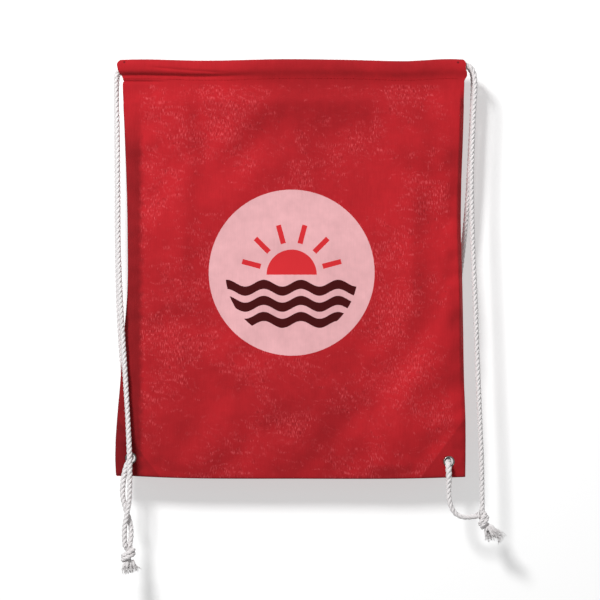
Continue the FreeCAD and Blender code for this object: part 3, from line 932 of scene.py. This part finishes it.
def outward(x, z, share, half, facing, folds, seed):
    """How far the cloth's outside stands from the middle plane.

    half goes from -1 at the left edge to 1 at the right. The front stays full close up to its right edge.
    """
    is_front = facing < 0
    slit = np.clip(1 - share / 0.1, 0, 1)
    rise = np.clip(share, 0, 1)
    from_middle = np.abs(half)
    edge = 1.75 + 3.0 * slit ** 1.5
    belly = 9.0 * np.sin(np.pi * rise ** 0.78) ** 0.9
    inner = np.where(half < 0, 1 - from_middle ** 2.2, 1 - 0.75 * from_middle ** 2.2)
    inner = inner - 0.25 * smooth_step(0.975 if is_front else 0.90, 1.0, half)
    near_edge = smooth_step(1.0, np.where((half > 0) & is_front, 0.975, 0.945), from_middle)
    calm_top = smooth_step(0.0, 0.06, share)
    calm_foot = smooth_step(1.0, 0.96, share)
    relief = ridges(x, z, folds) + 0.45 * ripples(x, z, seed, 55) + 0.14 * ripples(x, z, seed + 1, 17)
    relief = relief * print_calm(x, z)
    out = edge + belly * inner + relief * near_edge * (0.25 + 0.75 * calm_top) * (0.2 + 0.8 * calm_foot)
    pucker = 0.55 * np.sin(z * TURN / 24 + 2.5 * np.sin(z / 31)) * smooth_step(0.88, 0.96, from_middle)
    out += pucker * smooth_step(0.1, 0.2, share) * calm_foot
    for near in from_eyelets(x, z):
        flat = smooth_step(17, 6, near)
        out = between(out, EYELET_OUT, flat)
    return np.maximum(out, LEAST_OUT)


def hem_shape(x, roll, seed):
    """The hem's cross-section as it changes along the bag: roll 0 is a sharp crease, 1 a soft roll."""
    creased, rolled = hem_profile(HEM_CREASED), hem_profile(HEM_ROLLED)
    share = np.linspace(0, 1, len(creased))
    rolled = np.stack([np.interp(share, np.linspace(0, 1, len(rolled)), rolled[:, k]) for k in range(3)], 1)
    out = between(creased[:, :1], rolled[:, :1], roll)
    up = between(creased[:, 2:], rolled[:, 2:], roll)
    outside = smooth_step(4.4, 5.6, out)
    sway = 0.30 * np.sin(x / 23 + seed) + 0.16 * np.sin(x / 9.5 + 1.3 * seed)
    crease = hump(up, -15.4 - 0.9 * np.sin(x / 21), 1.8) * (1 - roll)
    slanting = hump(up, -8.6 - 0.055 * (x + 130), 1.0)
    slanting = slanting * smooth_step(-150, -128, x) * smooth_step(-58, -84, x)
    crumple = 0.14 * np.sin(x / 4.1 + up / 3.0) * np.sin(x / 17 + seed)
    tuck = hump(up, -21.6 - 0.02 * (x + 170), 1.1) * smooth_step(-122, -150, x)
    out = out + (sway * smooth_step(6, 9, out) - crease - 1.1 * slanting - 2.6 * tuck + crumple) * outside
    return out, up


COLUMN_STEP = 2.4
ROW_STEP = 2.5
PANEL_TOP = -25.5           # the panel's rows start here, under the hem
PANEL_FOOT = 1.6 - BAG_DEEP
JOINING_ROWS = 7            # over these the panel takes up the hem's shape
SETTLE_COLUMNS = 77
SETTLE_ROWS = 87
SETTLE_FRAMES = 16
WRINKLE_MOST = 5.0
SETTLE_CLOTH = {
    "quality": 8, "mass": 0.1, "air_damping": 4.0, "tension_stiffness": 40, "compression_stiffness": 40,
    "shear_stiffness": 15, "bending_stiffness": 6.0, "vertex_group_mass": "pins", "pin_stiffness": 0.6,
    "shrink_min": -0.012,
}


def columns():
    """Places across the bag from 0 to 1, closer together at both side edges."""
    count = int((panel_high[0] - panel_low[0]) / COLUMN_STEP)
    edge = np.array([0.0, 0.0012, 0.003, 0.0055, 0.009, 0.013])
    return np.unique(np.concatenate([np.linspace(0, 1, count)[1:-1], edge, 1 - edge]).round(6))


def side_edges(z):
    """The share of the way down the panel, and the cloth's left and right edges, at a height."""
    share = (-z - HEM_DEEP) / (BAG_DEEP - HEM_DEEP)
    at_hem = smooth_step(25.0, 20.0, -z)
    left = between(panel_low[0] + curve_through(LEFT_INSET, share), curve_through(HEM_LEFT, -z), at_hem)
    right = between(panel_high[0] - curve_through(RIGHT_INSET, share), curve_through(HEM_RIGHT, -z), at_hem)
    return share, left, right


def settle(sides):
    """The wrinkles of both panels: their cloth grows a little, held at its seams, and buckles.

    Gives how far each point of a coarse grid moves, for each side, row and column.
    """
    across = np.linspace(0, 1, SETTLE_COLUMNS)
    up = PANEL_TOP - (PANEL_TOP - PANEL_FOOT) * np.linspace(0, 1, SETTLE_ROWS)
    z = np.repeat(up[:, None], SETTLE_COLUMNS, 1)
    share, left, right = side_edges(z)
    x = left + (right - left) * across
    half = np.broadcast_to(2 * across - 1, x.shape)
    grids = []
    for facing, folds, seed in sides:
        out = outward(x, z, share, half, facing, folds, seed)
        grids.append(np.stack([x, facing * out, z], -1))
    start = np.array(grids)
    faces = grid_faces(SETTLE_ROWS, SETTLE_COLUMNS)
    faces = np.concatenate([faces, faces + SETTLE_ROWS * SETTLE_COLUMNS])
    trial = make_piece("settling", start.reshape(-1, 3), faces, None, COTTON)
    pins = trial.vertex_groups.new(name="pins")
    hold = np.full(x.shape, 0.07)
    hold[[0, -1]] = 1.0
    hold[:, [0, -1]] = 1.0
    for value in np.unique(hold):
        chosen = np.flatnonzero(np.tile((hold == value).ravel(), len(sides)))
        pins.add(chosen.tolist(), float(value), "REPLACE")
    modifier = trial.modifiers.new("cloth", "CLOTH")
    for key, value in SETTLE_CLOTH.items():
        setattr(modifier.settings, key, value)
    modifier.settings.effector_weights.gravity = 0.0
    modifier.collision_settings.use_collision = False
    for frame_number in range(1, SETTLE_FRAMES + 1):
        scene.frame_set(frame_number)
    settled = trial.evaluated_get(bpy.context.evaluated_depsgraph_get()).to_mesh()
    flat = np.empty(len(settled.vertices) * 3)
    settled.vertices.foreach_get("co", flat)
    moved = flat.reshape(start.shape) / MM - start
    scene.frame_set(1)
    bpy.data.objects.remove(trial)
    for _ in range(3):
        moved[:, 1:-1] = (moved[:, :-2] + 2 * moved[:, 1:-1] + moved[:, 2:]) / 4
        moved[:, :, 1:-1] = (moved[:, :, :-2] + 2 * moved[:, :, 1:-1] + moved[:, :, 2:]) / 4
    return np.clip(moved, -WRINKLE_MOST, WRINKLE_MOST)


def read_grid(grid, row, column):
    """Values between a grid's points: row and column are places in its own steps."""
    r = np.clip(row.astype(int), 0, grid.shape[0] - 2)
    c = np.clip(column.astype(int), 0, grid.shape[1] - 2)
    fr, fc = np.clip(row - r, 0, 1)[..., None], np.clip(column - c, 0, 1)[..., None]
    top = between(grid[r, c], grid[r, c + 1], fc)
    return between(top, between(grid[r + 1, c], grid[r + 1, c + 1], fc), fr)


def cloth_side(facing, folds, seed, wrinkles):
    """One side of the bag from the tucked-in hem edge down to the foot, as a grid of points and facts."""
    across = columns()
    middle_x = panel_low[0] + across * (panel_high[0] - panel_low[0])
    roll = smooth_step(-110, -20, middle_x) if facing < 0 else 0.5 + 0.5 * np.sin(middle_x / 70)
    hem_out, hem_up = hem_shape(middle_x[None, :], roll[None, :], seed)
    hem_rows = len(hem_up)
    rows = int((PANEL_TOP - PANEL_FOOT) / ROW_STEP)
    panel_up = np.linspace(PANEL_TOP, PANEL_FOOT, rows)
    z = np.concatenate([hem_up, np.repeat(panel_up[:, None], len(across), 1)])
    is_hem = (np.arange(len(z)) < hem_rows)[:, None]
    share, left, right = side_edges(z)
    x = left + (right - left) * across
    half = np.broadcast_to(2 * across - 1, x.shape)

    out = outward(x, z, share, half, facing, folds, seed)
    out[:hem_rows] = hem_out
    for row in range(JOINING_ROWS):
        t = smooth_step(0, 1, (row + 1) / (JOINING_ROWS + 1))
        out[hem_rows + row] = between(hem_out[-1], out[hem_rows + row], t)
    row_at = (PANEL_TOP - z) / (PANEL_TOP - PANEL_FOOT) * (SETTLE_ROWS - 1)
    moved = read_grid(wrinkles, row_at, across * (SETTLE_COLUMNS - 1) * np.ones_like(z))
    moved = moved * (smooth_step(0, 3, row_at) * print_calm(x, z) * ~is_hem)[..., None]
    for near in from_eyelets(x, z):
        moved = moved * smooth_step(7, 16, near)[..., None]
    out = np.maximum(out + facing * moved[..., 1], LEAST_OUT)
    rounded = (1 - np.abs(half) ** 110) ** 0.5
    out = out * np.where(share > 0.07, rounded, 1.0)
    x = x + moved[..., 0]
    z = z + moved[..., 2]
    z = z + curve_through(TOP_RISE, x) * smooth_step(-26, -6, z)
    z = z + curve_through(FOOT_RISE, x) * smooth_step(60 - BAG_DEEP, -BAG_DEEP, z)
    y = facing * out
    hem_long = 1.1 * hem_rows
    along = np.concatenate([np.linspace(-hem_long, 0, hem_rows), PANEL_TOP - panel_up])
    # what the cotton's nodes read
    facts = {
        "side_in": np.minimum(x - left, right - x),
        "left_side": (x < 0).astype(float),
        "down": np.where(is_hem, 0.0, -z),
        "fold_up": z + BAG_DEEP,
        "front": np.full_like(x, 1.0 if facing < 0 else 0.0),
        "along": np.repeat(along[:, None], len(across), 1) * -facing,
    }
    return np.stack([x, y, z], -1), facts


FOOT_DEPTH = np.array([0, 0, -1.6])         # how far the fold at the foot hangs below both sides
HOLE_RADIUS = 5.0
RIM_REACH = 9.0             # a hole's rim points are all this near its middle


def bag_cloth():
    """The whole cloth: front, fold at the foot, and back, as one sheet with its own thickness."""
    sides = [(-1, FRONT_FOLDS, 3), (1, BACK_FOLDS, 8)]
    wrinkles = settle(sides)
    front, front_facts = cloth_side(*sides[0], wrinkles[0])
    back, back_facts = cloth_side(*sides[1], wrinkles[1])
    last, first = front[-1], back[-1]
    fold = []
    middle = (last + first) / 2
    for angle in (math.pi * 0.25, math.pi * 0.5, math.pi * 0.75):
        fold.append(middle + (last - middle) * math.cos(angle) + FOOT_DEPTH * math.sin(angle))
    points = np.concatenate([front, fold, back[::-1]])
    facts = {}
    for key, values in front_facts.items():
        facts[key] = np.concatenate([values, np.repeat(values[-1:], len(fold), 0), back_facts[key][::-1]])
    rows, wide = points.shape[:2]
    points = points.reshape(-1, 3)
    faces = grid_faces(rows, wide)

    # the corner holes
    middles = points[faces].mean(1)
    holes = np.min(from_eyelets(middles[:, 0], middles[:, 2]), axis=0) < HOLE_RADIUS - 0.1
    rim = np.intersect1d(faces[holes].ravel(), faces[~holes].ravel())
    for centre_x, centre_z in EYELETS.values():
        near = rim[np.hypot(points[rim, 0] - centre_x, points[rim, 2] - centre_z) < RIM_REACH]
        away = points[near][:, [0, 2]] - (centre_x, centre_z)
        away *= HOLE_RADIUS / np.linalg.norm(away, axis=1, keepdims=True)
        points[near, 0] = centre_x + away[:, 0]
        points[near, 2] = centre_z + away[:, 1]

    # the hem's inner wall is open at its ends, where the cords cross from front to back
    inner_wall = (np.abs(middles[:, 0]) > 157.5) & (np.abs(middles[:, 1]) < 5.6) & (middles[:, 2] > -13)
    faces = faces[~(holes | inner_wall)]
    used = np.unique(faces)
    renumber = np.zeros(len(points), int)
    renumber[used] = np.arange(len(used))
    piece = make_piece("bag_cloth", points[used], renumber[faces], None, COTTON)
    along = facts.pop("along").reshape(-1)[used]
    threads = np.stack([points[used, 0], along, np.zeros(len(used))], -1).astype(np.float32)
    layer = piece.data.attributes.new("thread", "FLOAT_VECTOR", "POINT")
    layer.data.foreach_set("vector", threads.ravel())
    for key, values in facts.items():
        layer = piece.data.attributes.new(key, "FLOAT", "POINT")
        layer.data.foreach_set("value", values.reshape(-1)[used].astype(np.float32))
    thick = piece.modifiers.new("thickness", "SOLIDIFY")
    thick.thickness = CLOTH * MM
    thick.offset = -1.0
    bpy.context.view_layer.objects.active = piece
    piece.select_set(True)
    bpy.ops.object.modifier_apply(modifier=thick.name)
    piece.select_set(False)
    return belong(piece, "red_cotton", "bag", "front_panel", "back_panel", "front_hem", "back_hem")


cloth = bag_cloth()


# ---- eyelets and hem stitches

RING_STEPS = 56
STITCH_PITCH, STITCH_LONG = 3.2, 2.4
THREAD_RADIUS = 0.24
# A stitch's shape: shares of its length, and how far it stands out of the cloth there.
STITCH_SHARES = np.array([0.0, 0.12, 0.3, 0.5, 0.7, 0.88, 1.0])
STITCH_RISES = (-0.35, 0.08, 0.22, 0.26, 0.22, 0.08, -0.35)
RAY_FROM = 40.0             # rays toward the cloth start this far from the middle plane


def lathed(name, centre_x, centre_z, outline, node):
    """A ring turned about the Y axis from its closed outline of (radius, y) points."""
    closed = even(np.array([(r, y, 0) for r, y in [*outline, outline[0]]], float), 0.16)[:-1]
    angle = np.arange(RING_STEPS)[:, None] * TURN / RING_STEPS
    radius, depth = closed[:, 0], closed[:, 1]
    points = np.stack(np.broadcast_arrays(
        centre_x + np.cos(angle) * radius, depth, centre_z + np.sin(angle) * radius), -1)
    faces = grid_faces(RING_STEPS + 1, len(closed), wrap=True) % (RING_STEPS * len(closed))
    belong(make_piece(name, points.reshape(-1, 3), faces, None, NICKEL), "eyelet_metal", "bag", node)


for side, (centre_x, centre_z) in EYELETS.items():
    low, high = node_box(f"{side}_eyelet")
    back_low, back_high = node_box(f"{side}_eyelet_washer")
    face, tail, outer = low[1], high[1], (high[0] - low[0]) / 2
    lathed(f"{side}_eyelet_turned", centre_x, centre_z, [
        (4.35, tail), (4.35, face + 0.9), (4.45, face + 0.35), (4.8, face), (5.2, face + 0.02),
        (5.6, face + 0.3), (outer, face + 0.75), (outer - 0.25, face + 0.8), (5.2, face + 0.45),
        (4.85, face + 0.5), (4.68, face + 1.0), (4.68, tail),
    ], f"{side}_eyelet")
    near, far = back_low[1], back_high[1]
    lathed(f"{side}_washer_pressed", centre_x, centre_z, [
        (4.75, near), (outer, near), (outer, near + 0.25), (5.5, far - 0.05), (5.0, far), (4.75, far - 0.2),
    ], f"{side}_eyelet_washer")


def hem_stitches(name, node, facing):
    """One line of lockstitch: each stitch rises from the cloth, lies on it and dives again."""
    low, high = node_box(node)
    surface = BVHTree.FromObject(cloth, bpy.context.evaluated_depsgraph_get())
    parts = []
    for number in range(int((high[0] - low[0]) / STITCH_PITCH)):
        start = low[0] + number * STITCH_PITCH
        places = start + STITCH_LONG * STITCH_SHARES
        height = (low[2] + high[2]) / 2 + curve_through(TOP_RISE, places)
        height = height + dice.uniform(-0.12, 0.12) + 0.4 * math.sin(start / 41)
        line = []
        for place, rise, up in zip(places, STITCH_RISES, height):
            hit = surface.ray_cast(Vector((place, facing * RAY_FROM, up)) * MM, Vector((0, -facing, 0)))[0]
            if hit is not None:
                line.append((place, hit.y / MM + facing * rise, up))
        if len(line) == len(places):
            parts.append(tube(np.array(line), THREAD_RADIUS, 6))
    return belong(make_piece(name, *joined(parts), THREAD), "sewing_thread", "bag", node)


stitches = [
    hem_stitches("front_hem_thread", "front_hem_stitching", -1),
    hem_stitches("back_hem_thread", "back_hem_stitching", 1),
]


# ---- CAD nodes that stay, with real materials

for name in ("left_seam_allowance", "right_seam_allowance", "left_corner_patch", "right_corner_patch"):
    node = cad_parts[name]
    node.data.materials.clear()
    node.data.materials.append(COTTON)
